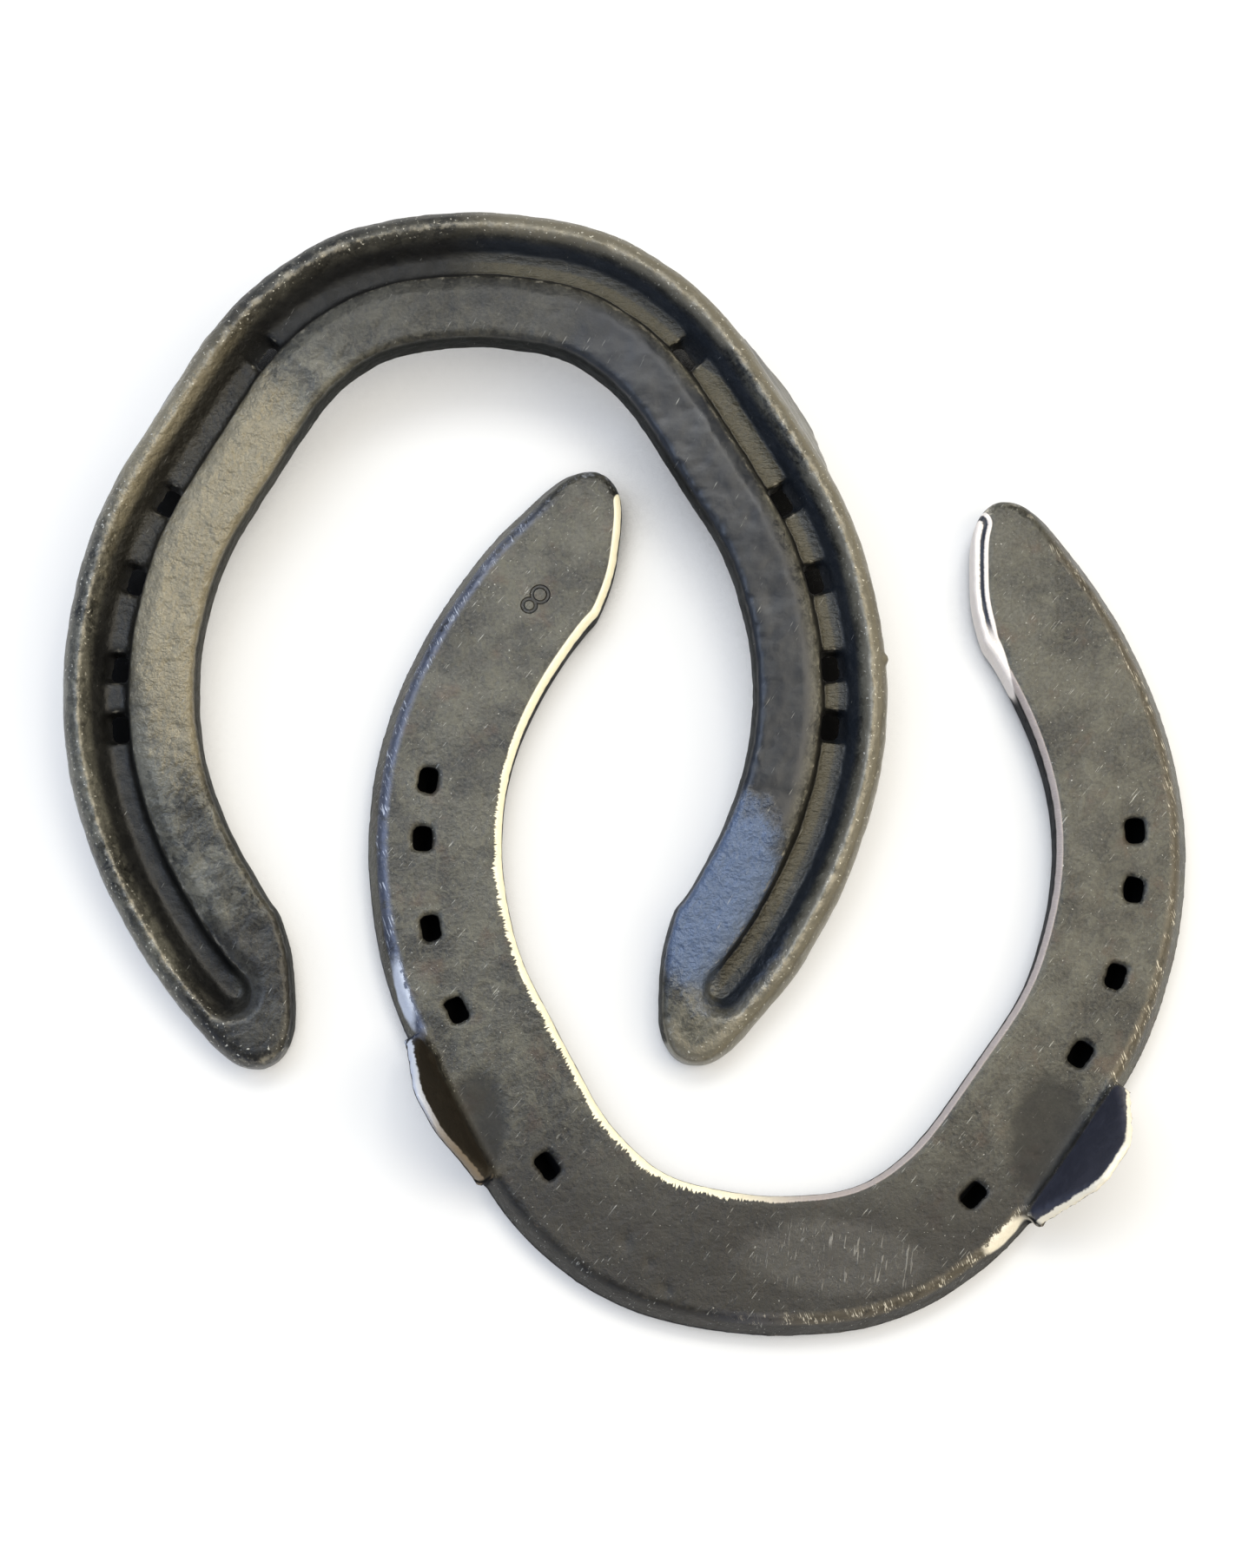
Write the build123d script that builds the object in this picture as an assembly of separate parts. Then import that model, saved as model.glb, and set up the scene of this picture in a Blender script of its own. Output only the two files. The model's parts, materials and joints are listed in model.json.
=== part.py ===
from build123d import *
import os
from math import atan2, cos, degrees, radians, sin

# A pair of forged, creased horseshoes with quarter clips, set down loose so
# that one branch of each stands in the opening of the other. One lies on its
# ground side. The other lies upside down on its clip tips and heels.
# One shoe's own frame: +Y to the toe, +Z out of the hoof face, and the origin
# on the ground side, midway between the widest points of the quarters.

os.makedirs("parts", exist_ok=True)

# ---- plan of the shoe ----
half_width = 64.3            # middle to the widest point, at the quarters
toe_reach = 74.8             # widest point to the front of the toe
heel_reach = 59.8            # widest point to the tip of a heel
heel_gap_half = 28.2         # middle to the inner side of a heel
web_width = 21.0

# ---- section of the bar ----
thickness = 8.0
widest_height = 4.2          # height of the bulge of the outer wall
crest_inset = 2.6            # outer edge to the ridge that meets the ground
wall_inset = 1.5             # lean of the outer wall up to its upper edge
face_inset = 2.4             # outer edge to the flat of the hoof face
inner_bevel = 0.9            # bevel ground along the inner edge of the hoof face
inner_round = 0.9            # round of the inner edge on the ground side

# ---- crease ----
crease_depth = 4.5
ridge_width = 0.5            # what is left between the crease and the outer wall
crease_floor_start = 6.7     # outer edge to the near side of the crease floor
crease_floor_width = 3.2
crease_draft = 0.9           # lean of the crease's inner wall
crease_lip = 2.2             # rounded lip between that wall and the inner web
crease_lip_depth = 0.8

# ---- nail holes, each a tapered slot from the crease floor to the hoof face ----
nail_hole_width = 2.7
nail_hole_length = 3.8
nail_mouth_width = 3.8
nail_mouth_length = 5.0
toe_nail_lean = 1.3          # how far a hole moves inward on its way up
heel_nail_lean = 0.4

# ---- clips, drawn up from the outer edge between the first two nail holes ----
clip_height = 12.5           # hoof face to the tip
clip_base = 25.0
clip_top = 8.0
clip_tip_radius = 3.6
clip_shoulder = 1.2          # upright part of the ends of the clip
clip_root = 3.2              # thickness where it leaves the hoof face
clip_tip = 1.3
clip_seat = 4.5              # how far down into the bar the clip runs
right_clip_lean = 3.6        # how far a tip stands out past the outer edge
left_clip_lean = 4.6

# ---- how the two lie ----
flat_shoe_turn = 175.8       # degrees about +Z
flat_shoe_place = (23.4, -12.0)
tilted_shoe_turn = 0.2
tilted_shoe_place = (-23.8, 13.3)

# Outer edge of the right half from the toe to the heel, as shares of the half
# width and of the reach: a rather square toe, and nearly straight at the clip.
toe_shape = [
    (0.000, 1.000), (0.155, 0.990), (0.311, 0.960), (0.467, 0.890),
    (0.544, 0.838), (0.622, 0.768), (0.703, 0.670), (0.791, 0.548),
    (0.880, 0.420), (0.941, 0.294), (0.980, 0.160), (0.998, 0.040),
]
heel_shape = [
    (0.997, 0.120), (0.969, 0.301), (0.918, 0.468),
    (0.843, 0.635), (0.743, 0.803), (0.678, 0.886),
]
outer_half = [(half_width * x, toe_reach * y) for x, y in toe_shape]
outer_half += [(half_width * x, -heel_reach * y) for x, y in heel_shape]

# End of a branch, round its tip: share of the branch's breadth out from the
# heel gap, share of the heel reach, and how far the section has passed from
# the outer wall (1) to the inner wall (0).
heel_end_shape = [
    (0.740, 0.958, 0.8), (0.455, 1.000, 0.5), (0.180, 0.987, 0.2),
    (0.026, 0.926, 0.0), (0.000, 0.811, 0.0), (0.045, 0.694, 0.0),
]
piece_points = 5             # points of an outline in one piece of its curve
branch_breadth = outer_half[-1][0] - heel_gap_half
heel_end = [(heel_gap_half + branch_breadth * x, -heel_reach * y) for x, y, _ in heel_end_shape]

# Stations along the outer edge, as shares of the toe reach ahead of the widest point.
nail_stations = [0.771, 0.442, 0.249, 0.041, -0.103]
clip_station = 0.594


def directions(points):
    """Unit vectors along one half of a symmetric outline, whose ends cross the middle square."""
    ahead = [(-points[1][0], points[1][1])] + points + [(-points[-2][0], points[-2][1])]
    found = []
    for before, after in zip(ahead, ahead[2:]):
        step_x, step_y = after[0] - before[0], after[1] - before[1]
        length = (step_x ** 2 + step_y ** 2) ** 0.5
        found.append((step_x / length, step_y / length))
    return found


def shifted(points, along, amounts):
    """Points moved to the right of their direction, which is into the steel."""
    return [(p[0] + d[1] * a, p[1] - d[0] * a) for p, d, a in zip(points, along, amounts)]


def smooth_run(points, along, height):
    """A smooth curve through the points, as a chain of short pieces."""
    pieces = []
    for start in range(0, len(points) - 1, piece_points):
        finish = min(start + piece_points, len(points) - 1)
        run = [(x, y, height) for x, y in points[start:finish + 1]]
        pieces.append(Spline(*run, tangents=[(*along[start], 0), (*along[finish], 0)]))
    return pieces


# The inner edge keeps the bar's width from the outer edge as far as the heels.
outer_along = directions(outer_half + [heel_end[0]])[:-1]
inner_edge = shifted(outer_half, outer_along, [web_width] * len(outer_half))
inner_half = [p for p in inner_edge if p[1] > heel_end[-1][1] + web_width / 5]

outline = outer_half + heel_end + inner_half[::-1]
outline_along = directions(outline)
outer_shares = [1.0] * len(outer_half) + [share for _, _, share in heel_end_shape]
outer_shares += [0.0] * len(inner_half)


def section_wire(height, outer_inset, inner_inset):
    """The right half of the outline at one height of the bar."""
    amounts = [outer_inset * share + inner_inset * (1 - share) for share in outer_shares]
    run = smooth_run(shifted(outline, outline_along, amounts), outline_along, height)
    return Wire(run + [Line(run[-1] @ 1, run[0] @ 0)])


def half_bar():
    """The right half of the bent bar: round on the ground side, bevelled on the hoof face."""
    levels = []
    for angle in (0, 30, 60, 90):
        remaining = 1 - sin(radians(angle))
        height = widest_height * (1 - cos(radians(angle)))
        levels.append((height, crest_inset * remaining, inner_round * remaining))
    levels.append((thickness - inner_bevel, wall_inset, 0))
    levels.append((thickness, face_inset, inner_bevel))
    return Solid.make_loft([section_wire(*level) for level in levels], ruled=True)


def band_wire(height, near, far):
    """Half a band along the outer edge, between two insets, with a round end at the heel."""
    near_run = smooth_run(shifted(outer_half, outer_along, [near] * len(outer_half)), outer_along, height)
    far_run = smooth_run(shifted(outer_half, outer_along, [far] * len(outer_half)), outer_along, height)
    near_end, far_end = near_run[-1] @ 1, far_run[-1] @ 1
    bulge = (near_run[-1] % 1) * ((far - near) / 2)
    end = ThreePointArc(near_end, (near_end + far_end) / 2 + bulge, far_end)
    return Wire(near_run + [end] + far_run[::-1] + [Line(far_run[0] @ 0, near_run[0] @ 0)])


def half_crease():
    """The groove for the nail heads: a long outer slope, a steep inner wall, a rounded lip."""
    ridge = crest_inset + ridge_width
    slope = (crease_floor_start - ridge) / crease_depth
    floor_end = crease_floor_start + crease_floor_width
    lip_end = floor_end + crease_draft
    levels = [
        (-crease_lip_depth, ridge - slope * crease_lip_depth, lip_end + 2 * crease_lip),
        (crease_lip_depth, ridge + slope * crease_lip_depth, lip_end),
        (crease_depth, crease_floor_start, floor_end),
    ]
    return Solid.make_loft([band_wire(*level) for level in levels], ruled=True)


right_edge = Spline(*[(x, y, 0) for x, y in outer_half])


def edge_station(reach):
    """Point and outward direction of the right outer edge, this far ahead of the widest point."""
    low, high = 0.0, 1.0
    for _ in range(40):
        middle = (low + high) / 2
        if (right_edge @ middle).Y > reach:
            low = middle
        else:
            high = middle
    along = right_edge % low
    return right_edge @ low, Vector(-along.Y, along.X, 0)


def nail_hole(station, lean):
    """A tapered slot, long side along the branch, that leans inward on its way up."""
    point, outward = edge_station(toe_reach * station)
    floor_middle = crease_floor_start + crease_floor_width / 2
    web = thickness - crease_depth
    sections = []
    for reach in (-0.4, 1.2):
        inset = floor_middle + lean * reach
        place = point - outward * inset + Vector(0, 0, crease_depth + web * reach)
        width = nail_mouth_width + (nail_hole_width - nail_mouth_width) * reach
        length = nail_mouth_length + (nail_hole_length - nail_mouth_length) * reach
        with_corners = RectangleRounded(width, length, nail_hole_width / 8)
        sections.append(Plane(place, x_dir=outward, z_dir=(0, 0, 1)) * with_corners)
    return loft(sections, ruled=True)


def clip(lean):
    """A clip on the right branch: a blunt triangle that thins and leans out to its tip."""
    point, outward = edge_station(toe_reach * clip_station)
    seat = thickness - clip_seat
    shoulder = thickness + clip_shoulder
    tip = thickness + clip_height
    front = Polyline(
        (-clip_base / 2, seat), (clip_base / 2, seat), (clip_base / 2, shoulder),
        (clip_top / 2, tip), (-clip_top / 2, tip), (-clip_base / 2, shoulder), close=True,
    )
    front_face = make_face(front)
    tops = [v for v in front_face.vertices() if v.Y > tip - 0.01]
    front_face = fillet(tops, clip_tip_radius)
    root = face_inset
    side = Polyline(
        (-clip_root, seat), (-0.2, seat), (clip_root - root, thickness), (lean, tip),
        (lean - clip_tip, tip), (-root, thickness), close=True,
    )
    side_face = make_face(side)
    across = 2 * (clip_root + lean)
    front_solid = extrude(Plane.XZ * front_face, across, both=True)
    side_solid = extrude(Plane.YZ * side_face, clip_base, both=True)
    shape = front_solid & side_solid
    return Plane(point, x_dir=outward.rotate(Axis.Z, -90), z_dir=(0, 0, 1)) * shape


def half_shoe(clip_lean):
    """The right half of a shoe: the bar with its clip, crease and nail holes."""
    forged = half_bar() + clip(clip_lean) - half_crease()
    leans = [toe_nail_lean] + [heel_nail_lean] * (len(nail_stations) - 1)
    return forged - [nail_hole(station, lean) for station, lean in zip(nail_stations, leans)]


shoe = half_shoe(right_clip_lean) + half_shoe(left_clip_lean).mirror(Plane.YZ)

# The tilted shoe stands on two clip tips and on the hoof face edge of its heels.
heel_rest = heel_reach - (face_inset + inner_bevel) / 2
clip_rest = (edge_station(toe_reach * clip_station)[0]).Y
tilt = degrees(atan2(clip_height, clip_rest + heel_rest))

flat_shoe = Pos(*flat_shoe_place, 0) * Rot(0, 0, flat_shoe_turn) * shoe
turned_over = Rot(tilt, 0, 0) * Rot(0, 180, 0) * shoe
tilted_shoe = Pos(*tilted_shoe_place, 0) * Rot(0, 0, tilted_shoe_turn) * turned_over
tilted_shoe = Pos(0, 0, -tilted_shoe.bounding_box().min.Z) * tilted_shoe

pair_box = Compound(children=[Compound([flat_shoe]), Compound([tilted_shoe])]).bounding_box()
to_middle = Pos(-pair_box.center().X, -pair_box.center().Y, 0)
export_step(to_middle * flat_shoe, "parts/hoof_side_up_shoe.step")
export_step(to_middle * tilted_shoe, "parts/ground_side_up_shoe.step")
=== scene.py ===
import bpy
import json
import math
import numpy as np
from mathutils import Matrix, Vector, kdtree, noise


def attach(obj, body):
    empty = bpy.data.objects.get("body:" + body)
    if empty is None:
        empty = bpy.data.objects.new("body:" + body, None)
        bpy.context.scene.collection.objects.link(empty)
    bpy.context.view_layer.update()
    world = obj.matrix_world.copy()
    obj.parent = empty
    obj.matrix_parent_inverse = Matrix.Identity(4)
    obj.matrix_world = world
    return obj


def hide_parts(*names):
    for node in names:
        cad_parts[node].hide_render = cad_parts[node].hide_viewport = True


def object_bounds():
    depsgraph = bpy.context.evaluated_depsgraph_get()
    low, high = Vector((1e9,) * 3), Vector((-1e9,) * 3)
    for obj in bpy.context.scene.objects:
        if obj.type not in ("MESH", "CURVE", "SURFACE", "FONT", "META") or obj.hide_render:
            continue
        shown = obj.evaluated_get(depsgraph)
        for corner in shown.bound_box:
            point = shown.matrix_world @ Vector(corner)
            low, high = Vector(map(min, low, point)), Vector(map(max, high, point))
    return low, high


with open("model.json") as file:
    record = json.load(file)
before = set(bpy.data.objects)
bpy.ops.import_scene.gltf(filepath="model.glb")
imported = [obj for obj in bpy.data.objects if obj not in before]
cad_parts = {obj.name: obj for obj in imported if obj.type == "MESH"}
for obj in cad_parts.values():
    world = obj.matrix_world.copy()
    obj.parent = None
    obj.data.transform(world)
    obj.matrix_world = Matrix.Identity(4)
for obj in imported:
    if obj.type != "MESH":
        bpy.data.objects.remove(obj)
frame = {"nodes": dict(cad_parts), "record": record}
cadLow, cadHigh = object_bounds()
mounts = {mount["name"]: mount for mount in frame["record"]["mounts"]}
mm = 0.001
print("stage: frame loaded")


class Sheet:  # adds nodes to a tree and wires them
    def __init__(self, tree):
        self.tree = tree

    def node(self, kind, **settings):
        made = self.tree.nodes.new("ShaderNode" + kind)
        for key, value in settings.items():
            setattr(made, key, value)
        return made

    def join(self, socket, value):
        if isinstance(value, bpy.types.NodeSocket):
            self.tree.links.new(value, socket)
        else:
            socket.default_value = value

    def math(self, operation, first, second=0.0):
        made = self.node("Math", operation=operation)
        self.join(made.inputs[0], first)
        self.join(made.inputs[1], second)
        return made.outputs[0]

    def times(self, first, *others):
        for other in others:
            first = self.math("MULTIPLY", first, other)
        return first

    def plus(self, first, *others):
        for other in others:
            first = self.math("ADD", first, other)
        return first

    def larger(self, first, *others):
        for other in others:
            first = self.math("MAXIMUM", first, other)
        return first

    def smooth(self, value, low, high, end=1.0):  # 0 at low, end at high
        made = self.node("MapRange", interpolation_type="SMOOTHSTEP")
        for name, item in (("Value", value), ("From Min", low), ("From Max", high), ("To Max", end)):
            self.join(made.inputs[name], item)
        return made.outputs["Result"]

    def blend(self, share, first, second):
        made = self.node("Mix", data_type="RGBA")
        self.join(made.inputs["Factor"], share)
        self.join(made.inputs[6], first)
        self.join(made.inputs[7], second)
        return made.outputs[2]

    def stretch(self, place, scale, turn=0.0, shift=(0, 0, 0)):
        made = self.node("Mapping")
        self.join(made.inputs["Vector"], place)
        self.join(made.inputs["Location"], shift)
        self.join(made.inputs["Rotation"], (0, 0, math.radians(turn)))
        self.join(made.inputs["Scale"], scale)
        return made.outputs["Vector"]

    def cloud(self, place, scale, detail=3.0, rough=0.55, warp=0.0):
        made = self.node("TexNoise")
        for name, item in (("Vector", place), ("Scale", scale), ("Detail", detail), ("Roughness", rough),
                           ("Distortion", warp)):
            self.join(made.inputs[name], item)
        return made.outputs["Fac"]

    def use(self, group, **inputs):
        made = self.node("Group", node_tree=group)
        for key, value in inputs.items():
            self.join(made.inputs[key.replace("_", " ")], value)
        return made.outputs


socketKinds = {"value": "NodeSocketFloat", "vector": "NodeSocketVector", "colour": "NodeSocketColor"}


def effect(name, inputs, outputs):  # an empty node group with named sockets
    group = bpy.data.node_groups.new(name, "ShaderNodeTree")
    for label, kind in inputs.items():
        group.interface.new_socket(label, in_out="INPUT", socket_type=socketKinds[kind])
    for label, kind in outputs.items():
        group.interface.new_socket(label, in_out="OUTPUT", socket_type=socketKinds[kind])
    sheet = Sheet(group)
    given = group.nodes.new("NodeGroupInput").outputs
    result = group.nodes.new("NodeGroupOutput").inputs
    return sheet, given, result


def millScaleEffect():  # grey oxide skin: cloudy patches, small flakes, fine grain
    sheet, given, result = effect(
        "mill scale",
        {
            "Place": "vector",
            "Dark": "colour",
            "Light": "colour",
            "Flake Size": "value",
            "Flake Share": "value",
        },
        {"Colour": "colour", "Flakes": "value", "Height": "value"},
    )
    place = given["Place"]
    cloudy = sheet.cloud(place, 0.075, 4.0, 0.6)
    flakeScale = sheet.math("DIVIDE", 1.0, given["Flake Size"])
    flakeCloud = sheet.cloud(place, flakeScale, 6.0, 0.62, 0.7)
    edge = sheet.math("SUBTRACT", 1.0, given["Flake Share"])
    flakes = sheet.smooth(flakeCloud, sheet.math("SUBTRACT", edge, 0.03), sheet.plus(edge, 0.03))
    grain = sheet.cloud(place, 1.9, 3.0, 0.7)
    tone = sheet.plus(
        sheet.smooth(cloudy, 0.37, 0.63, 0.45), sheet.times(flakes, 0.32), sheet.smooth(grain, 0.3, 0.75, 0.4)
    )
    sheet.join(result["Colour"], sheet.blend(tone, given["Dark"], given["Light"]))
    sheet.join(result["Flakes"], flakes)
    sheet.join(result["Height"], sheet.plus(sheet.times(flakes, 0.12), sheet.times(grain, 0.5), flakeCloud))
    return sheet.tree


def hammeredEffect():  # shallow dimples and pebbles left by rolls, hammer and die
    sheet, given, result = effect("hammered skin", {"Place": "vector", "Size": "value"}, {"Height": "value"})
    scale = sheet.math("DIVIDE", 1.0, given["Size"])
    pebbles = sheet.node("TexVoronoi", feature="SMOOTH_F1")
    warped = sheet.node("VectorMath", operation="MULTIPLY_ADD")
    wobble = sheet.node("TexNoise")
    sheet.join(wobble.inputs["Vector"], given["Place"])
    sheet.join(wobble.inputs["Scale"], scale)
    sheet.join(warped.inputs[0], wobble.outputs["Color"])
    sheet.join(warped.inputs[1], (1.6, 1.6, 1.6))
    sheet.join(warped.inputs[2], given["Place"])
    sheet.join(pebbles.inputs["Vector"], warped.outputs[0])
    sheet.join(pebbles.inputs["Scale"], scale)
    sheet.join(pebbles.inputs["Smoothness"], 0.6)
    fine = sheet.cloud(given["Place"], sheet.times(scale, 2.6), 4.0, 0.6)
    coarse = sheet.times(pebbles.outputs["Distance"], 0.6)
    sheet.join(result["Height"], sheet.plus(coarse, sheet.times(fine, 0.7)))
    return sheet.tree


def wornEdgeEffect():  # steel showing where an outside corner is rubbed, broken up along its length
    sheet, given, result = effect(
        "worn edge",
        {"Relief": "value", "Place": "vector", "Start": "value", "Break Up": "value"},
        {"Mask": "value"},
    )
    ragged = sheet.cloud(given["Place"], 0.9, 5.0, 0.7)
    shift = sheet.times(sheet.math("SUBTRACT", ragged, 0.5), given["Break Up"])
    rubbed = sheet.plus(given["Relief"], shift)
    sheet.join(result["Mask"], sheet.smooth(rubbed, given["Start"], sheet.plus(given["Start"], 0.12)))
    return sheet.tree


def groundBandEffect():  # bright steel off the grinder along an edge, with scratches running past it
    sheet, given, result = effect(
        "ground band",
        {"Gap": "value", "Run": "value", "Width": "value", "Ragged": "value"},
        {"Mask": "value", "Grain": "value"},
    )
    both = sheet.node("CombineXYZ")
    sheet.join(both.inputs["X"], given["Run"])
    sheet.join(both.inputs["Y"], given["Gap"])
    slant = sheet.stretch(both.outputs[0], (2.6, 0.35, 1), 40)
    teeth = sheet.cloud(slant, 1.0, 2.0, 0.5)
    patches = sheet.cloud(both.outputs[0], 0.22, 2.0)
    push = sheet.math("SUBTRACT", sheet.plus(sheet.times(teeth, 1.4), sheet.times(patches, 0.8)), 1.1)
    width = sheet.plus(given["Width"], sheet.times(push, given["Ragged"]))
    blur = 0.12  # mm either side of the band's far edge
    mask = sheet.smooth(given["Gap"], sheet.plus(width, blur), sheet.math("SUBTRACT", width, blur))
    sheet.join(result["Mask"], mask)
    sheet.join(result["Grain"], teeth)
    return sheet.tree


def scratchEffect():  # a few thin scratches in one direction
    sheet, given, result = effect(
        "thin scratches", {"Place": "vector", "Share": "value"}, {"Mask": "value"}
    )
    lines = sheet.cloud(sheet.stretch(given["Place"], (3.4, 0.22, 1)), 1.0, 2.0, 0.5)
    where = sheet.cloud(given["Place"], 0.35, 2.0)
    limit = sheet.math("SUBTRACT", 1.0, given["Share"])
    thin = sheet.smooth(lines, limit, sheet.plus(limit, 0.05))
    sheet.join(result["Mask"], sheet.times(thin, sheet.smooth(where, 0.45, 0.6)))
    return sheet.tree


def patchEffect():  # a soft-edged patch somewhere on the shoe
    sheet, given, result = effect(
        "soft patch", {"Place": "vector", "Centre": "vector", "Reach": "vector"}, {"Mask": "value"}
    )
    away = sheet.node("VectorMath", operation="SUBTRACT")
    sheet.join(away.inputs[0], given["Place"])
    sheet.join(away.inputs[1], given["Centre"])
    scaled = sheet.node("VectorMath", operation="DIVIDE")
    sheet.join(scaled.inputs[0], away.outputs[0])
    sheet.join(scaled.inputs[1], given["Reach"])
    length = sheet.node("VectorMath", operation="LENGTH")
    sheet.join(length.inputs[0], scaled.outputs[0])
    ragged = sheet.cloud(given["Place"], 0.4, 4.0, 0.6)
    far = sheet.plus(length.outputs["Value"], sheet.times(sheet.math("SUBTRACT", ragged, 0.5), 0.5))
    sheet.join(result["Mask"], sheet.smooth(far, 1.1, 0.7))
    return sheet.tree


def stampedEffect():  # a plain numeral 8 punched into the face: two rings, one above the other
    sheet, given, result = effect("stamped numeral", {"Place": "vector"}, {"Mask": "value"})
    turned = sheet.stretch(given["Place"], (1, 1, 0), 40)
    rings = []
    for middle, radius in ((-1.25, 1.3), (1.2, 1.05)):
        moved = sheet.node("VectorMath", operation="SUBTRACT")
        sheet.join(moved.inputs[0], turned)
        sheet.join(moved.inputs[1], (0, middle, 0))
        far = sheet.node("VectorMath", operation="LENGTH")
        sheet.join(far.inputs[0], moved.outputs[0])
        off = sheet.math("ABSOLUTE", sheet.math("SUBTRACT", far.outputs["Value"], radius))
        rings.append(sheet.smooth(off, 0.38, 0.16))
    sheet.join(result["Mask"], sheet.larger(*rings))
    return sheet.tree


stamped = stampedEffect()
millScale = millScaleEffect()
hammered = hammeredEffect()
wornEdge = wornEdgeEffect()
groundBand = groundBandEffect()
scratches = scratchEffect()
softPatch = patchEffect()
print("stage: effects made")


def startSteel(name):
    material = bpy.data.materials.new(name)
    material.use_nodes = True
    sheet = Sheet(material.node_tree)
    read = {}
    for label in ("own", "bar", "relief", "facing", "clipRim"):
        made = sheet.node("Attribute", attribute_name=label)
        read[label] = made.outputs["Fac"] if label in ("relief", "clipRim") else made.outputs["Vector"]
    for label, names in (("own", "xyz"), ("bar", ("run", "inner", "outer")), ("facing", ("fx", "fy", "up"))):
        parts = sheet.node("SeparateXYZ")
        sheet.join(parts.inputs[0], read[label])
        for part, socket in zip(names, parts.outputs):
            read[part] = socket
    return sheet, read, material.node_tree.nodes["Principled BSDF"]


def finishSteel(sheet, shader, colour, rough, metal, height, depth):
    bump = sheet.node("Bump")
    sheet.join(bump.inputs["Strength"], 1.0)
    sheet.join(bump.inputs["Distance"], depth * mm)
    sheet.join(bump.inputs["Height"], height)
    sheet.join(shader.inputs["IOR"], 1.52)
    sheet.join(shader.inputs["Base Color"], colour)
    sheet.join(shader.inputs["Roughness"], rough)
    sheet.join(shader.inputs["Metallic"], metal)
    sheet.join(shader.inputs["Normal"], bump.outputs["Normal"])


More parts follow.
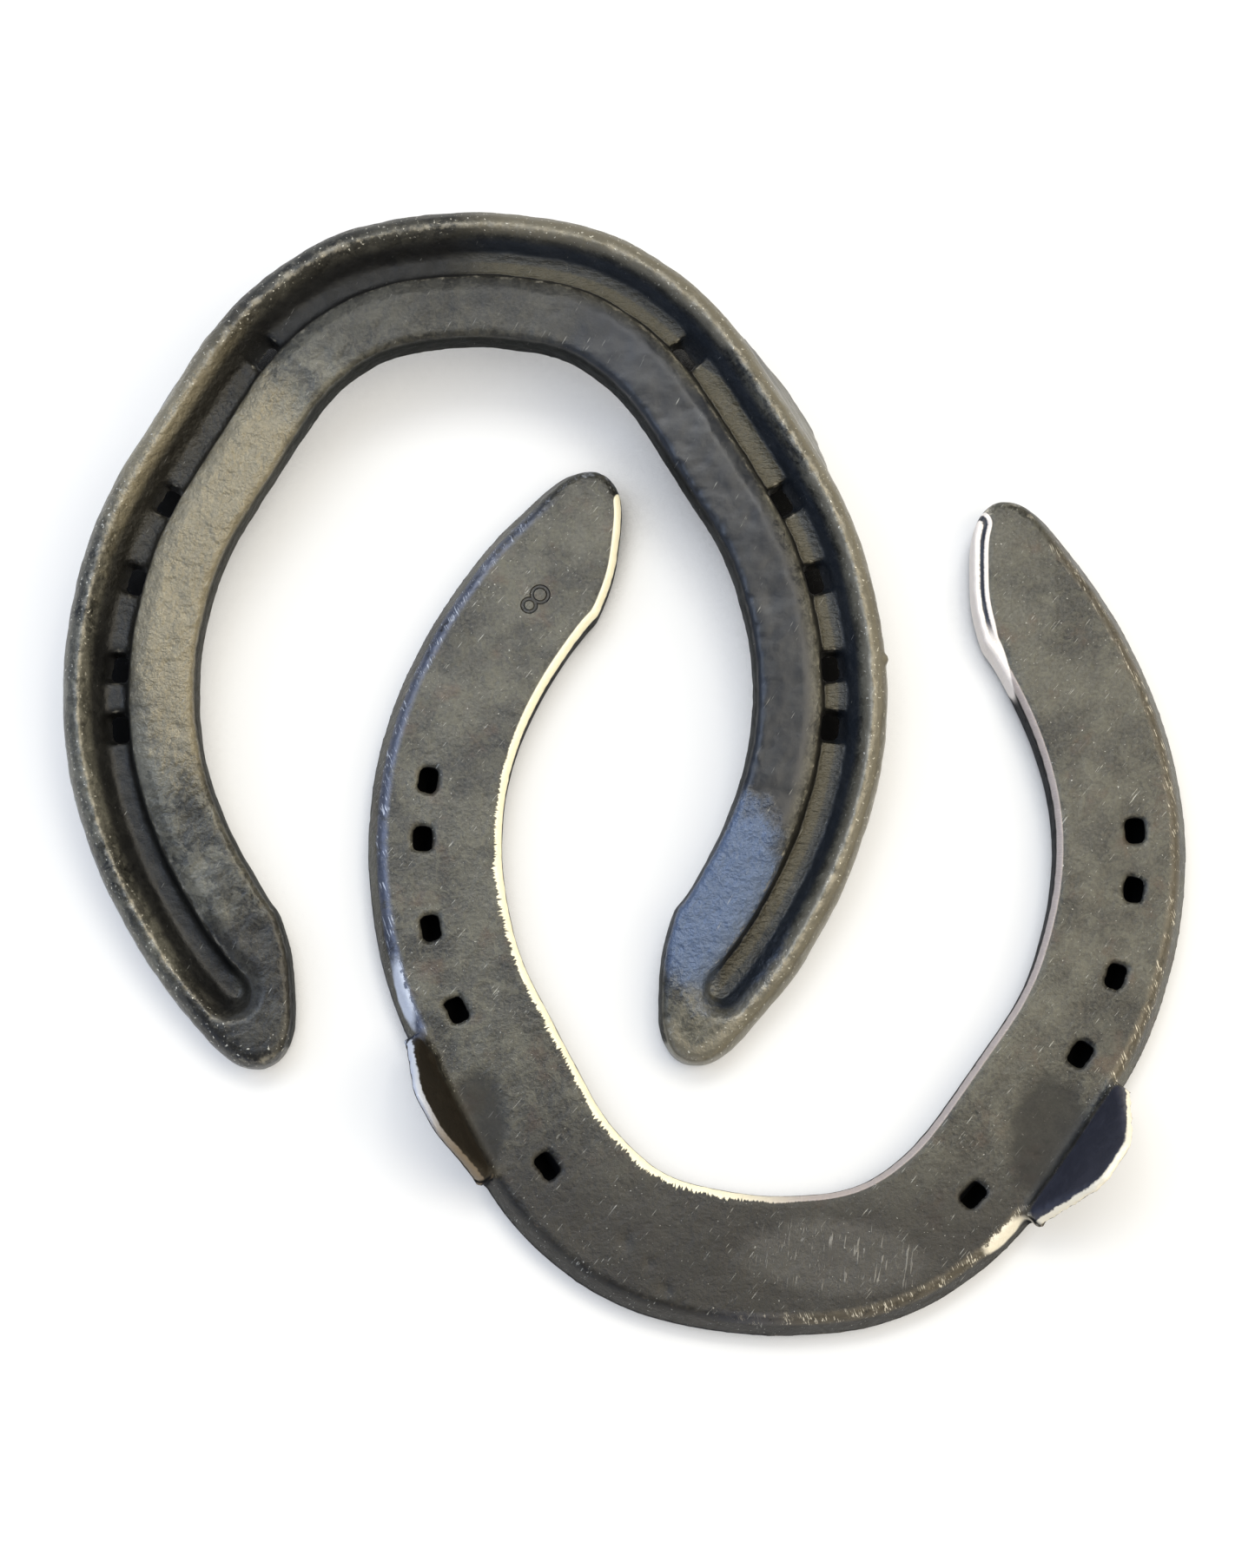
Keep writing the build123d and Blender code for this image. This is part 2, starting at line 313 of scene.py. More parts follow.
def hoofSideSteel():
    sheet, read, shader = startSteel("hoofSideSteel")
    own = read["own"]
    scale = sheet.use(millScale, Place=own, Dark=(0.001, 0.001, 0.0008, 1), Light=(0.088, 0.085, 0.065, 1),
                      Flake_Size=3.0, Flake_Share=0.46)
    colour = scale["Colour"]
    rust = sheet.smooth(sheet.cloud(own, 0.16, 5.0, 0.65), 0.54, 0.70, 0.45)
    colour = sheet.blend(rust, colour, (0.060, 0.036, 0.022, 1))
    toe = sheet.smooth(read["y"], 35.0, 58.0, 0.8)
    colour = sheet.blend(toe, colour, (0.012, 0.010, 0.008, 1))
    toePatch = sheet.use(softPatch, Place=own, Centre=(-12, 60, 0), Reach=(15, 6, 4))["Mask"]
    toeLines = sheet.use(scratches, Place=sheet.stretch(own, (1, 1, 1), 6), Share=0.44)["Mask"]
    toeLines = sheet.times(toePatch, toeLines)
    toeShine = sheet.plus(sheet.times(toeLines, 0.4), sheet.times(toePatch, 0.1))
    colour = sheet.blend(toeShine, colour, (0.3, 0.29, 0.26, 1))
    glints = sheet.use(scratches, Place=sheet.stretch(own, (1.3, 1.3, 1.3), 35), Share=0.34)["Mask"]
    colour = sheet.blend(sheet.times(glints, 0.45), colour, (0.5, 0.5, 0.46, 1))

    stamp = sheet.use(stamped, Place=sheet.stretch(own, (1, 1, 1), 0, (-41.0, 39.6, 0)))["Mask"]
    stamp = sheet.times(stamp, sheet.smooth(read["z"], -0.5, -0.2))
    colour = sheet.blend(sheet.times(stamp, 0.8), colour, (0.004, 0.004, 0.004, 1))
    # painted glints: small bright specks standing in for light caught by the steel
    glintSpecks = sheet.smooth(sheet.cloud(own, 2.2, 2.0), 0.70, 0.74)
    colour = sheet.blend(sheet.times(glintSpecks, 0.65), colour, (0.45, 0.45, 0.41, 1))
    wall = sheet.smooth(read["up"], 0.5, 0.2)
    clip = sheet.smooth(read["z"], 0.7, 1.6)
    tornRim = sheet.plus(read["clipRim"], sheet.times(sheet.cloud(own, 1.3, 3.0), 0.5))
    clipEdge = sheet.times(clip, sheet.smooth(tornRim, 1.5, 1.25), sheet.smooth(read["up"], 0.1, 0.3))
    clipFace = sheet.math("SUBTRACT", clip, clipEdge)
    # painted shade in the shallow dips beside the clips, where steel was drawn up into them; the dips also
    # get less relief and a duller finish
    beside = sheet.larger(
        sheet.use(softPatch, Place=own, Centre=(-44, 40, 0), Reach=(7, 11, 3))["Mask"],
        sheet.use(softPatch, Place=own, Centre=(44, 44, 0), Reach=(5, 9, 3))["Mask"],
    )
    colour = sheet.blend(sheet.times(beside, 0.65), colour, (0.004, 0.0035, 0.003, 1))
    rightSide = sheet.smooth(read["x"], 10.0, -10.0)
    # clip faces: brown away from the rightSide half, navy on it; this side-to-side tint is painted warm and
    # cool light
    clipTone = sheet.blend(rightSide, (0.018, 0.013, 0.007, 1), (0.036, 0.038, 0.056, 1))
    # painted shade: the side walls are darkened almost to black
    colour = sheet.blend(sheet.times(wall, 0.95), colour, (0.010, 0.011, 0.014, 1))
    colour = sheet.blend(sheet.times(clipFace, 0.92), colour, clipTone)

    rubbed = sheet.use(wornEdge, Relief=read["relief"], Place=own, Start=0.12, Break_Up=0.3)["Mask"]
    nearOutside = sheet.times(sheet.smooth(read["outer"], 3.4, 2.4), sheet.math("SUBTRACT", 1.0, clip))
    edgeBreaks = sheet.smooth(sheet.cloud(own, 0.13, 3.0), 0.47, 0.56)
    # painted highlight along the rounded outside edge, with ragged gaps
    paintedEdgeHighlight = sheet.times(
        nearOutside,
        sheet.smooth(read["outer"], 0.1, 0.5),
        sheet.smooth(read["outer"], 2.4, 1.5),
        sheet.smooth(sheet.cloud(own, 0.5, 4.0, 0.7), 0.25, 0.5),
        sheet.larger(rightSide, sheet.smooth(read["y"], 48.0, 28.0)),
        sheet.smooth(read["y"], -58.0, -50.0),
    )
    # painted light: cool blue away from the rightSide half, warm brown on it
    edgeHighlightColour = sheet.blend(rightSide, (0.085, 0.10, 0.15, 1), (0.10, 0.085, 0.06, 1))
    colour = sheet.blend(sheet.times(paintedEdgeHighlight, 0.75), colour, edgeHighlightColour)
    chunks = sheet.larger(
        sheet.use(softPatch, Place=own, Centre=(-40, 55.5, -0.6), Reach=(7, 4, 1.6))["Mask"],
        sheet.use(softPatch, Place=own, Centre=(57.3, 27, -0.6), Reach=(3, 9, 1.6))["Mask"],
    )
    ragged = sheet.plus(read["outer"], sheet.times(sheet.cloud(own, 0.7, 4.0, 0.7), 2.4))
    chunks = sheet.times(chunks, sheet.smooth(ragged, 3.0, 2.7), nearOutside)
    nicks = sheet.use(scratches, Place=sheet.stretch(own, (1.6, 1.6, 1.6), -25), Share=0.42)["Mask"]
    chunks = sheet.larger(chunks, sheet.times(nicks, paintedEdgeHighlight, 0.8))
    rim = sheet.larger(sheet.times(rubbed, nearOutside, edgeBreaks), clipEdge, chunks)
    leftward = sheet.smooth(read["x"], -15.0, 15.0)
    band = sheet.use(
        groundBand,
        Gap=read["inner"],
        Run=read["run"],
        Width=sheet.plus(1.0, sheet.times(leftward, 0.25)),
        Ragged=sheet.times(leftward, 1.5, sheet.smooth(read["y"], -25.0, 5.0)),
    )
    bevel = sheet.times(
        band["Mask"], sheet.smooth(read["up"], 0.2, 0.45), sheet.smooth(read["z"], -1.6, -1.1)
    )
    heelWidth = sheet.smooth(read["y"], -28.0, -42.0, 2.5)
    heelEdge = sheet.math("SUBTRACT", heelWidth, 0.2)
    heel = sheet.times(rightSide, sheet.smooth(read["inner"], heelWidth, heelEdge))
    brushed = sheet.cloud(sheet.stretch(own, (0.4, 3.5, 1)), 1.0, 3.0)
    brushedGap = sheet.plus(read["inner"], sheet.times(brushed, 0.4))
    # painted dark reflection: a dark blue strip inside the mirror-bright ground heel
    heelDarkReflection = sheet.times(
        heel,
        sheet.smooth(read["y"], -38.0, -42.0),
        sheet.smooth(brushedGap, 0.9, 1.2),
        sheet.smooth(brushedGap, 2.1, 1.8),
    )
    bevel = sheet.larger(bevel, sheet.times(heel, 0.9))
    bright = sheet.larger(bevel, rim)
    # ground steel on the bevels: warm cream away from the rightSide half; on it dull pink-grey, pinkish white
    # at the heel; the side-to-side tint is painted light
    pinkish = sheet.blend(heel, (0.38, 0.33, 0.31, 1), (0.92, 0.85, 0.79, 1))
    cream = sheet.blend(rightSide, (0.95, 0.88, 0.64, 1), pinkish)
    # worn steel on the outside corners: blue-grey, brown towards the toe, cream on the rightSide half; the
    # side-to-side tint is painted light
    rimTone = sheet.blend(sheet.smooth(read["y"], 38.0, 50.0), (0.50, 0.54, 0.62, 1), (0.16, 0.125, 0.085, 1))
    rimTone = sheet.blend(rightSide, rimTone, (0.80, 0.74, 0.60, 1))
    colour = sheet.blend(rim, colour, rimTone)
    colour = sheet.blend(bevel, colour, cream)
    colour = sheet.blend(heelDarkReflection, colour, (0.010, 0.012, 0.022, 1))
    rough = sheet.plus(
        0.34,
        sheet.times(scale["Flakes"], 0.10),
        sheet.times(wall, 0.35),
        sheet.times(toe, 0.12),
        sheet.times(beside, 0.15),
    )
    dullWall = sheet.times(wall, sheet.math("SUBTRACT", 1.0, bright))
    metal = sheet.plus(0.35, sheet.times(dullWall, 0.6), sheet.times(bright, -0.3))
    skin = sheet.use(hammered, Place=own, Size=1.5)["Height"]
    calm = sheet.math("SUBTRACT", 1.0, sheet.times(sheet.larger(clip, beside), 0.8))
    height = sheet.plus(
        sheet.times(scale["Height"], 0.5, calm),
        sheet.times(skin, calm, 0.8),
        sheet.times(toeLines, 0.6),
        sheet.times(bevel, band["Grain"], 0.8),
        sheet.times(stamp, -2.5),
    )
    finishSteel(sheet, shader, colour, rough, metal, height, 0.125)


def groundSideSteel():
    sheet, read, shader = startSteel("groundSideSteel")
    own = read["own"]
    scale = sheet.use(millScale, Place=own, Dark=(0.006, 0.006, 0.005, 1), Light=(0.128, 0.123, 0.097, 1),
                      Flake_Size=2.8, Flake_Share=0.48)
    # painted warm sheen: a large khaki patch standing in for warm light reflected off the web; it is also
    # glossier and more hammered there
    warmSheen = sheet.use(softPatch, Place=own, Centre=(42, 20, -8), Reach=(16, 40, 12))["Mask"]
    colour = sheet.blend(sheet.times(warmSheen, 0.62), scale["Colour"], (0.27, 0.235, 0.155, 1))
    toe = sheet.smooth(read["y"], 38.0, 58.0, 0.6)
    colour = sheet.blend(toe, colour, (0.006, 0.006, 0.005, 1))
    # painted cool reflection: blue-grey on the smoother web towards negative x, where the hammered relief is
    # also weaker
    coolSheenSide = sheet.smooth(sheet.plus(read["x"], sheet.times(sheet.cloud(own, 0.09, 2.0), 24.0)), 14.0, -14.0)
    smoothWeb = sheet.times(coolSheenSide, sheet.smooth(read["outer"], 9.5, 12.0))
    colour = sheet.blend(sheet.times(smoothWeb, 0.9), colour, (0.012, 0.015, 0.022, 1))
    # painted reflection of a blue sky on the web near one heel; the patch is also glossier and more hammered
    skyReflection = sheet.use(softPatch, Place=own, Centre=(-37, -36, -8), Reach=(12, 18, 8))["Mask"]
    colour = sheet.blend(sheet.times(skyReflection, 0.65), colour, (0.11, 0.16, 0.27, 1))
    darkHeel = sheet.use(softPatch, Place=own, Centre=(33, -52, -8), Reach=(14, 16, 8))["Mask"]
    colour = sheet.blend(sheet.times(darkHeel, 0.6), colour, (0.010, 0.009, 0.009, 1))
    rightSide = sheet.smooth(read["x"], 6.0, -6.0)
    hollow = sheet.smooth(read["z"], -7.2, -5.6)
    crease = sheet.times(
        hollow, sheet.smooth(read["outer"], 2.4, 4.0), sheet.smooth(read["inner"], 8.0, 10.0)
    )
    # painted warm highlight: tan on the rounded outside edge of the rightSide half
    rounding = sheet.times(sheet.smooth(read["outer"], 3.2, 2.2), sheet.smooth(read["z"], -4.0, -5.0))
    colour = sheet.blend(sheet.times(rounding, rightSide, 0.75), colour, (0.17, 0.155, 0.115, 1))
    # painted shade: the deep crease is darkened almost to black
    colour = sheet.blend(sheet.times(crease, 0.9), colour, (0.004, 0.004, 0.004, 1))
    # painted warm light: the crease floor on the rightSide half is lighter tan; its ripples below are real
    # relief
    creaseFloor = sheet.times(
        crease, rightSide, sheet.smooth(read["z"], -4.6, -4.1), sheet.smooth(read["up"], -0.6, -0.85)
    )
    colour = sheet.blend(sheet.times(creaseFloor, 0.8), colour, (0.085, 0.077, 0.053, 1))
    # painted cool reflection: blue on the crease's outer slope on the rightSide half
    slope = sheet.times(crease, rightSide, sheet.smooth(read["outer"], 6.8, 6.2))
    colour = sheet.blend(sheet.times(slope, 0.5), colour, (0.012, 0.020, 0.034, 1))
    wall = sheet.smooth(read["up"], -0.45, -0.15)
    wall = sheet.times(wall, sheet.math("SUBTRACT", 1.0, crease))
    # painted shade: the inner walls are darkened almost to black
    innerWall = sheet.times(wall, sheet.smooth(read["inner"], 2.0, 1.0))
    colour = sheet.blend(sheet.times(innerWall, 0.9), colour, (0.010, 0.012, 0.012, 1))
    worn = sheet.use(wornEdge, Relief=read["relief"], Place=own, Start=0.11, Break_Up=0.35)["Mask"]
    worn = sheet.times(worn, sheet.smooth(read["inner"], 2.0, 4.0))
    colour = sheet.blend(sheet.times(worn, 0.7), colour, (0.26, 0.24, 0.19, 1))
    glints = sheet.use(scratches, Place=sheet.stretch(own, (1.2, 1.2, 1.2), -30), Share=0.30)["Mask"]
    colour = sheet.blend(sheet.times(glints, 0.4), colour, (0.45, 0.45, 0.42, 1))
    # painted glints: bright specks on the worn crest and the rounded edge
    glintSpecks = sheet.times(sheet.smooth(sheet.cloud(own, 1.9, 2.0), 0.66, 0.71), sheet.larger(worn, rounding))
    colour = sheet.blend(sheet.times(glintSpecks, 0.8), colour, (0.6, 0.58, 0.5, 1))
    rough = sheet.plus(
        0.31,
        sheet.times(scale["Flakes"], 0.06),
        sheet.times(innerWall, 0.35),
        sheet.times(toe, 0.2),
        sheet.times(crease, 0.15),
        sheet.times(skyReflection, -0.1),
        sheet.times(warmSheen, -0.06),
    )
    metal = sheet.plus(0.35, sheet.times(innerWall, 0.6))
    skin = sheet.use(hammered, Place=own, Size=1.9)["Height"]
    rugged = sheet.plus(0.9, sheet.times(smoothWeb, -0.75), sheet.times(warmSheen, 2.0), sheet.times(skyReflection, 3.2))
    ripples = sheet.times(creaseFloor, sheet.cloud(sheet.stretch(own, (0.7, 1.6, 1)), 1.0, 3.0))
    height = sheet.times(sheet.plus(sheet.times(scale["Height"], 0.35), skin), rugged)
    height = sheet.plus(height, sheet.times(ripples, 3.0))
    finishSteel(sheet, shader, colour, rough, metal, height, 0.13)


hoofSideSteel()
groundSideSteel()
print("stage: steel made")


flatShoe = {
    "node": "hoof_side_up_shoe",
    "body": "flat_shoe",
    "slot": "hoof_side_up_steel",
    "mounts": "flat_shoe",
    "material": "hoofSideSteel",
    "voxel": 0.52,  # mm, size of one face of the skin
    "peelDepth": 0.035,  # mm, orange peel left by the rolls and the press
    "peelSize": 2.6,
    "swayDepth": 0.10,  # mm, slow waves left by the hammer
    "swaySize": 11.0,
    "nickDepth": 0.30,  # mm, bites out of the outside corners
    "rimBurr": 0.06,  # mm, steel pushed up round the nail holes
    "chamferWidth": 2.6,  # mm, inside edge of one heel, ground off further
    "chamferRun": (28.0, 44.0),
    "seed": 3.7,
    "marks": [
        {"at": (51.9, 34.5, 0.8), "reach": (2.6, 2.6, 2.2), "height": 0.7},  # lump at the clip's heel end
        {"at": (40.5, 55.2, 0.4), "reach": (2.2, 2.2, 2.5), "height": 0.8},  # burr at its toe end
        {"at": (-42.6, 53.4, 0.0), "reach": (2.0, 2.4, 2.0), "height": 0.6},  # burrs beside the other clip
        {"at": (-37.4, 57.6, 0.0), "reach": (2.6, 1.6, 1.8), "height": 0.5},
        {"at": (-44.5, 39.5, 0.0), "reach": (8.0, 12.0, 2.5), "height": -0.32},  # steel drawn up
        {"at": (44.5, 44.0, 0.0), "reach": (6.0, 10.0, 2.5), "height": -0.22},
        {"at": (20.0, 59.8, 0.0), "reach": (1.6, 2.2, 2.0), "height": -0.2},  # dents near the toe
        {"at": (13.4, 66.5, 0.0), "reach": (1.4, 1.8, 2.0), "height": -0.25},
        {"at": (16.2, 63.0, 0.0), "reach": (1.0, 1.5, 2.0), "height": -0.2},
    ],
}
tiltedShoe = {
    "node": "ground_side_up_shoe",
    "body": "tilted_shoe",
    "slot": "ground_side_up_steel",
    "mounts": "tilted_shoe",
    "material": "groundSideSteel",
    "voxel": 0.52,
    "peelDepth": 0.08,
    "peelSize": 2.4,
    "swayDepth": 0.14,
    "swaySize": 9.0,
    "nickDepth": 0.35,
    "rimBurr": 0.05,
    "chamferWidth": 0.0,
    "chamferRun": (28.0, 44.0),
    "seed": 8.1,
    "marks": [
        {"at": (-63.6, 0.9, -5.5), "reach": (1.6, 1.3, 1.6), "height": 0.6},  # nub on the outer edge
    ],
}


def shoeAxes(shoe):  # a shoe's own axes: x across, y to the toe, z out of the hoof face
    face = mounts[shoe["mounts"] + "_hoof_face"]
    up = Vector(face["axis"]).normalized()
    rightHole = Vector(mounts[shoe["mounts"] + "_nail_hole_4"]["pos_m"])
    leftHole = Vector(mounts[shoe["mounts"] + "_nail_hole_9"]["pos_m"])
    across = (rightHole - leftHole).normalized()
    return np.array([across, up.cross(across), up]), np.array((rightHole + leftHole) / 2)


def remeshed(shoe):  # a fine even skin over the CAD shoe, lightly smoothed
    source = frame["nodes"][shoe["node"]]
    piece = bpy.data.objects.new(shoe["node"] + "_forged", source.data.copy())
    bpy.context.collection.objects.link(piece)
    skin = piece.modifiers.new("skin", "REMESH")
    skin.mode = "VOXEL"
    skin.voxel_size = shoe["voxel"] * mm
    ease = piece.modifiers.new("ease", "SMOOTH")
    ease.factor = 0.5
    ease.iterations = 2
    graph = bpy.context.evaluated_depsgraph_get()
    mesh = bpy.data.meshes.new_from_object(piece.evaluated_get(graph))
    piece.modifiers.clear()
    piece.data = mesh
    mesh.materials.clear()
    return piece


def readVectors(layer, name, count):
    flat = np.empty(count * 3)
    layer.foreach_get(name, flat)
    return flat.reshape(-1, 3)


def eased(values, edges, rounds):  # values averaged over their neighbours, again and again
    count = np.bincount(edges.ravel(), minlength=len(values)).astype(float)
    flat = values.reshape(len(values), -1).astype(float)
    for _ in range(rounds):
        total = np.zeros_like(flat)
        for column in range(flat.shape[1]):
            ahead = np.bincount(edges[:, 0], flat[edges[:, 1], column], len(flat))
            behind = np.bincount(edges[:, 1], flat[edges[:, 0], column], len(flat))
            total[:, column] = ahead + behind
        flat = 0.5 * flat + 0.5 * total / count[:, None]
    return flat.reshape(values.shape)


def ramp(values, low, high):  # 0 at low, 1 at high, smooth between
    t = np.clip((values - low) / (high - low), 0, 1)
    return t * t * (3 - 2 * t)


def barLine(own):  # middle line of the bar, read off the mesh by angle about the shoe's middle
    angle = np.arctan2(own[:, 0], own[:, 1])
    reach = np.hypot(own[:, 0], own[:, 1])
    line = []
    for turn in np.radians(np.arange(-141, 142, 3)):
        near = np.abs(angle - turn) < math.radians(1.5)
        radius = (reach[near].max() + reach[near].min()) / 2
        line.append((radius * math.sin(turn), radius * math.cos(turn)))
    return np.array(line)


def alongBar(own, line):  # distance along the bar from the toe, and outward from its middle line
    steps = np.linalg.norm(np.diff(line, axis=0), axis=1)
    run = np.concatenate([[0], np.cumsum(steps)])
    run -= run[-1] / 2
    best = np.full(len(own), 1e9)
    along = np.zeros(len(own))
    outward = np.zeros(len(own))
    for start, finish, first, length in zip(line, line[1:], run, steps):
        way = (finish - start) / length
        offset = own[:, :2] - start
        t = np.clip(offset @ way, 0, length)
        gap = offset - t[:, None] * way
        distance = np.hypot(gap[:, 0], gap[:, 1])
        side = offset[:, 1] * way[0] - offset[:, 0] * way[1]
        closer = distance < best
        best[closer] = distance[closer]
        along[closer] = (first + t)[closer]
        outward[closer] = (np.sign(side) * distance)[closer]
    return along, outward


def gapTo(wall, own):  # distance, seen from above, to the nearest point of a wall
    tree = kdtree.KDTree(len(wall))
    for index, (x, y, z) in enumerate(wall):
        tree.insert((x, y, 0), index)
    tree.balance()
    return np.array([tree.find((x, y, 0))[2] for x, y, z in own])


def holeGap(shoe, own):  # distance, seen from above, to the middle of the nearest nail hole
    axes, middle = shoeAxes(shoe)
    holes = [mounts["%s_nail_hole_%d" % (shoe["mounts"], i)]["pos_m"] for i in range(1, 11)]
    holes = (np.array(holes) - middle) @ axes.T / mm
    return np.min(np.linalg.norm(own[:, None, :2] - holes[None, :, :2], axis=2), axis=1)


def rollingNoise(own, size, seed, octaves=3):
    shift = Vector((seed, seed * 2.3, -seed))
    return np.array([noise.fractal(Vector(p) / size + shift, 1.0, 2.0, octaves) for p in own])


def store(mesh, name, values):
    kind, key = ("FLOAT", "value") if values.ndim == 1 else ("FLOAT_VECTOR", "vector")
    layer = mesh.attributes.new(name, kind, "POINT")
    layer.data.foreach_set(key, values.astype(np.float32).ravel())


barLines = {}  # middle line of each shoe's bar, kept for the floor


def forge(shoe):  # the CAD shoe's skin with its marks, standing in for the CAD shoe
    piece = remeshed(shoe)
    mesh = piece.data
    points = readVectors(mesh.vertices, "co", len(mesh.vertices))
    normals = readVectors(mesh.vertex_normals, "vector", len(mesh.vertices))
    edges = np.empty(len(mesh.edges) * 2, dtype=np.int64)
    mesh.edges.foreach_get("vertices", edges)
    edges = edges.reshape(-1, 2)
    axes, middle = shoeAxes(shoe)
    own = (points - middle) @ axes.T / mm
    for side, rounds in (("right", 30), ("left", 6)):
        sign = 1 if side == "right" else -1
        share = ramp(own[:, 2], 0.2, 1.4) * (sign * own[:, 0] > 0)
        points += share[:, None] * (eased(points, edges, rounds) - points)
    own = (points - middle) @ axes.T / mm
    facing = normals @ axes.T
    barLines[shoe["node"]] = barLine(own)
    along, outward = alongBar(own, barLines[shoe["node"]])
    nearHole = holeGap(shoe, own)

    wall = (own[:, 2] > -3.2) & (own[:, 2] < -1.2) & (np.abs(facing[:, 2]) < 0.5) & (nearHole > 4.0)
    heelEnd = np.abs(along) > np.abs(along).max() - 0.01
    inner = eased(gapTo(own[wall & ((outward < 0) | (heelEnd & (outward < 2.5)))], own), edges, 2)
    outer = eased(gapTo(own[wall & (outward > 0)], own), edges, 2)
    broad = eased(points, edges, 10)
    relief = eased(np.einsum("ij,ij->i", points - broad, normals) / mm, edges, 1)
    radial = own[:, :2] / np.linalg.norm(own[:, :2], axis=1)[:, None]
    clipBack = (own[:, 2] > 0.4) & (np.einsum("ij,ij->i", facing[:, :2], radial) > 0.75)
    tree = kdtree.KDTree(int(clipBack.sum()))
    for index, place in enumerate(own[clipBack]):
        tree.insert(place, index)
    tree.balance()
    clipRim = np.array([tree.find(place)[2] if place[2] > 0.3 else 9.0 for place in own])
    store(mesh, "clipRim", clipRim)
    store(mesh, "own", own)
    store(mesh, "bar", np.column_stack([along, inner, outer]))
    store(mesh, "relief", relief)
    store(mesh, "facing", facing)

    peel = rollingNoise(own, shoe["peelSize"], shoe["seed"])
    sway = rollingNoise(own, shoe["swaySize"], shoe["seed"] + 5, 2)
    nicks = rollingNoise(own, 1.1, shoe["seed"] + 9, 2)
    lift = shoe["peelDepth"] * peel + shoe["swayDepth"] * sway
    lift += shoe["nickDepth"] * ramp(relief, 0.05, 0.25) * np.minimum(nicks, 0.1)
    onFace = ramp(facing[:, 2], 0.7, 0.95) * (np.abs(own[:, 2]) < 0.6)
    lift += shoe["rimBurr"] * onFace * ramp(3.5 - nearHole, 0.0, 1.2)
    heel = ramp(-own[:, 1], *shoe["chamferRun"]) * (own[:, 0] < 0)
    lift -= 0.45 * heel * onFace * np.clip(shoe["chamferWidth"] - inner, 0, None)
    for mark in shoe["marks"]:
        away = np.linalg.norm((own - np.array(mark["at"])) / np.array(mark["reach"]), axis=1)
        lift += mark["height"] * ramp(1 - away, 0, 1)
    points += normals * (lift * mm)[:, None]
    mesh.vertices.foreach_set("co", points.ravel())
    mesh.shade_smooth()
    mesh.update()
    mesh.materials.append(bpy.data.materials[shoe["material"]])
    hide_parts(shoe["node"])
    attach(piece, shoe["body"])
    print("stage: forged", shoe["node"], len(mesh.vertices), "points,", len(mesh.loop_triangles), "triangles")


forge(flatShoe)
forge(tiltedShoe)


studio = {
    "floorSide": 2.4,
    "floorMargin": 12 * mm,  # fine faces reach this far past the shoes
    "floorDrop": 0.05 * mm,
    "closeIn": 30 * mm,  # how far off steel still closes in the floor
    "floorColour": (0.88, 0.88, 0.87, 1),
    # painted shade under the shoes, so the floor seen through the nail holes reads black
    "floorShade": (0.01, 0.01, 0.01, 1),  # under the shoes, seen through the nail holes
    "fadeOut": (0.22, 0.70),  # m from the middle, where the floor turns into the backdrop
    "coolPaper": (0.60, 0.72, 1.0, 1),
    "warmPaper": (1.3, 1.15, 0.88, 1),
    "ceiling": (0.24, 0.25, 0.26, 1),
    "floorGlow": 0.35,  # share of the white backdrop in what the camera sees of the floor
}


# painted shade mask on the floor
def underHoles(places):  # 1 on the floor below the nail holes, fading out to 0 before the bar's edges
    share = np.zeros(len(places))
    for shoe in (flatShoe, tiltedShoe):
        axes, middle = shoeAxes(shoe)
        own = (places - middle) @ axes.T / mm
        near = holeGap(shoe, own)
        outward = alongBar(own, barLines[shoe["node"]])[1]
        share = np.maximum(share, ramp(near, 15, 6) * ramp(outward, -8, -1) * ramp(outward, 12, 6))
    return share


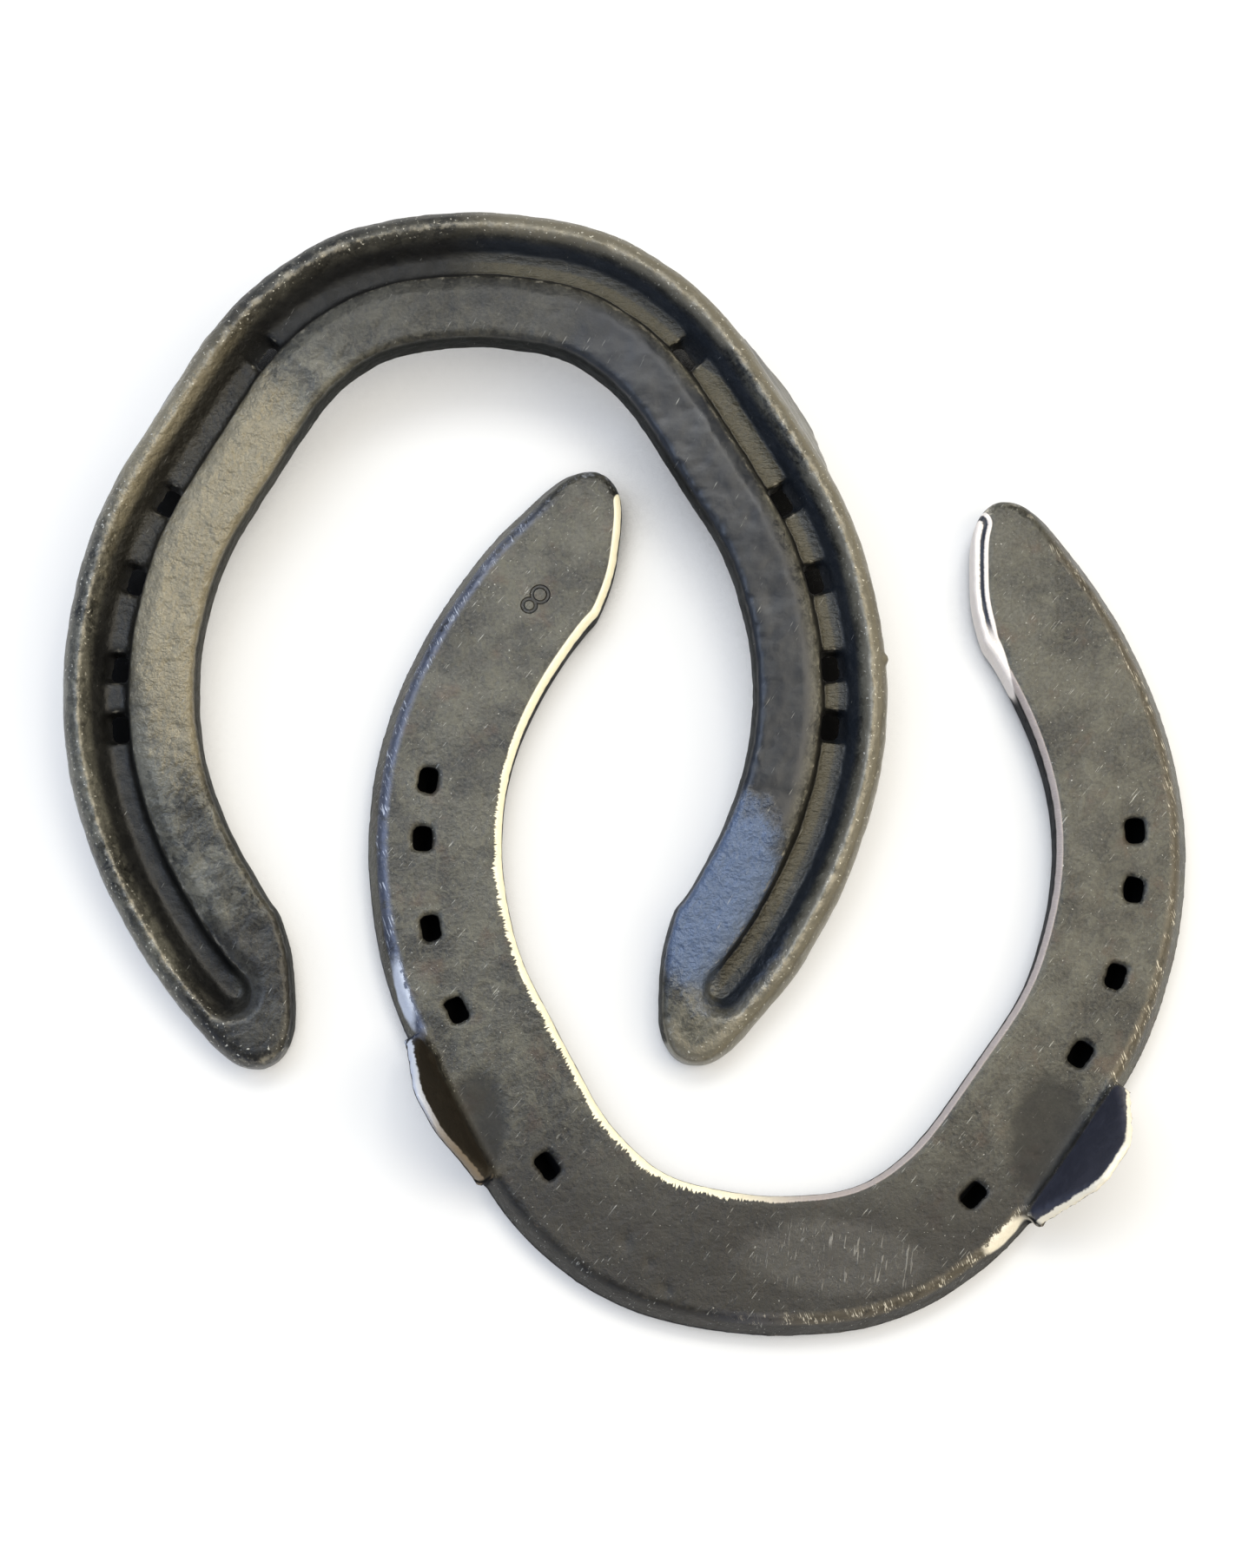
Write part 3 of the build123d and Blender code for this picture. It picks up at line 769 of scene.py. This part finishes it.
def paleFloor():
    half = studio["floorSide"] / 2
    margin = studio["floorMargin"]
    across = np.arange(cadLow.x - margin, cadHigh.x + margin, mm)
    along = np.arange(cadLow.y - margin, cadHigh.y + margin, mm)
    across = np.concatenate([[-half], across, [half]])
    along = np.concatenate([[-half], along, [half]])
    corners = [(x, y, 0) for x in across for y in along]
    under = underHoles(np.array(corners) + (0, 0, cadLow.z))
    rows = len(along)
    quads = [(i * rows + j, (i + 1) * rows + j, (i + 1) * rows + j + 1, i * rows + j + 1)
             for i in range(len(across) - 1) for j in range(rows - 1)]
    mesh = bpy.data.meshes.new("floor")
    mesh.from_pydata(corners, [], quads)
    mesh.attributes.new("cover", "FLOAT", "POINT").data.foreach_set("value", under)
    floor = bpy.data.objects.new("floor", mesh)
    floor.location.z = cadLow.z - studio["floorDrop"]
    bpy.context.collection.objects.link(floor)
    material = bpy.data.materials.new("paleFloor")
    material.use_nodes = True
    sheet = Sheet(material.node_tree)
    shader = material.node_tree.nodes["Principled BSDF"]
    # painted shade: the floor's colour darkens where steel is close by, and far more below the nail holes
    deep = sheet.node("AmbientOcclusion", samples=12)
    sheet.join(deep.inputs["Distance"], studio["closeIn"])
    cover = sheet.node("Attribute", attribute_name="cover").outputs["Fac"]
    shaded = sheet.times(cover, sheet.smooth(deep.outputs["AO"], 0.95, 0.60))
    shaded = sheet.larger(shaded, sheet.smooth(deep.outputs["AO"], 0.50, 0.28, 0.9))
    openFloor = sheet.math("SUBTRACT", 1.0, shaded)
    paint = sheet.blend(openFloor, studio["floorShade"], studio["floorColour"])
    sheet.join(shader.inputs["Base Color"], paint)
    sheet.join(shader.inputs["Roughness"], 0.9)
    sheet.join(shader.inputs["Specular IOR Level"], 0.1)
    seen = sheet.node("LightPath").outputs["Is Camera Ray"]
    reach = sheet.node("VectorMath", operation="LENGTH")
    sheet.join(reach.inputs[0], sheet.node("TexCoord").outputs["Object"])
    far = sheet.smooth(reach.outputs["Value"], *studio["fadeOut"])
    glow = sheet.node("Emission")
    sheet.join(glow.inputs["Strength"], 1.0)
    mix = sheet.node("MixShader")
    glowing = sheet.larger(far, sheet.times(openFloor, studio["floorGlow"]))
    sheet.join(mix.inputs["Fac"], sheet.times(seen, glowing))
    sheet.join(mix.inputs[1], shader.outputs[0])
    sheet.join(mix.inputs[2], glow.outputs[0])
    sheet.join(material.node_tree.nodes["Material Output"].inputs["Surface"], mix.outputs[0])
    mesh.materials.append(material)


softLights = {
    "warmSide": {"place": (0.42, -0.05, 0.78), "size": (0.5, 0.6), "colour": (1.0, 0.90, 0.72), "watts": 4.0},
    "coolSide": {"place": (-0.42, 0.1, 0.78), "size": (0.5, 0.6), "colour": (0.62, 0.75, 1.0), "watts": 2.8},
    "overhead": {"place": (0.0, 0.38, 0.95), "size": (0.7, 0.3), "colour": (1.0, 0.98, 0.92), "watts": 5.0},
}


def softLight(name, lamp):  # a soft box turned to the middle of the floor
    data = bpy.data.lights.new(name, "AREA")
    data.shape = "RECTANGLE"
    data.size, data.size_y = lamp["size"]
    data.color = lamp["colour"]
    data.energy = lamp["watts"]
    box = bpy.data.objects.new(name, data)
    box.location = lamp["place"]
    box.rotation_mode = "QUATERNION"
    box.rotation_quaternion = (-Vector(lamp["place"])).to_track_quat("-Z", "Y")
    bpy.context.collection.objects.link(box)


paleFloor()
for name, lamp in softLights.items():
    softLight(name, lamp)


def studioWorld():  # cool paper on the left, warm on the right, dimmer overhead
    world = bpy.data.worlds.new("studio")
    world.use_nodes = True
    sheet = Sheet(world.node_tree)
    way = sheet.node("SeparateXYZ")
    sheet.join(way.inputs[0], sheet.node("TexCoord").outputs["Generated"])
    low = sheet.smooth(way.outputs["Z"], 0.7, 0.25)
    paper = sheet.blend(sheet.smooth(way.outputs["X"], -0.5, 0.5), studio["coolPaper"], studio["warmPaper"])
    background = world.node_tree.nodes["Background"]
    seen = sheet.node("LightPath").outputs["Is Camera Ray"]
    around = sheet.blend(low, studio["ceiling"], paper)
    sheet.join(background.inputs["Color"], sheet.blend(seen, around, (1, 1, 1, 1)))
    sheet.join(background.inputs["Strength"], 1.0)
    bpy.context.scene.world = world


studioWorld()
bpy.context.scene.view_settings.view_transform = "Standard"
print("stage: studio set")


view = {
    "aim": (0.13 * mm, -0.65 * mm, 0),
    "distance": 0.5,
    "tilt": 12.13,  # degrees off straight down, towards the heels of the flat shoe
    "lean": -1.86,
    "lens": 72.26,
}
cameraData = bpy.data.cameras.new("camera")
cameraData.lens = view["lens"]
camera = bpy.data.objects.new("camera", cameraData)
tilted = Matrix.Rotation(math.radians(view["tilt"]), 4, "X")
turn = tilted @ Matrix.Rotation(math.radians(view["lean"]), 4, "Y")
camera.matrix_world = Matrix.Translation(view["aim"]) @ turn @ Matrix.Translation((0, 0, view["distance"]))
bpy.context.collection.objects.link(camera)
bpy.context.scene.camera = camera

print("stage: camera set")
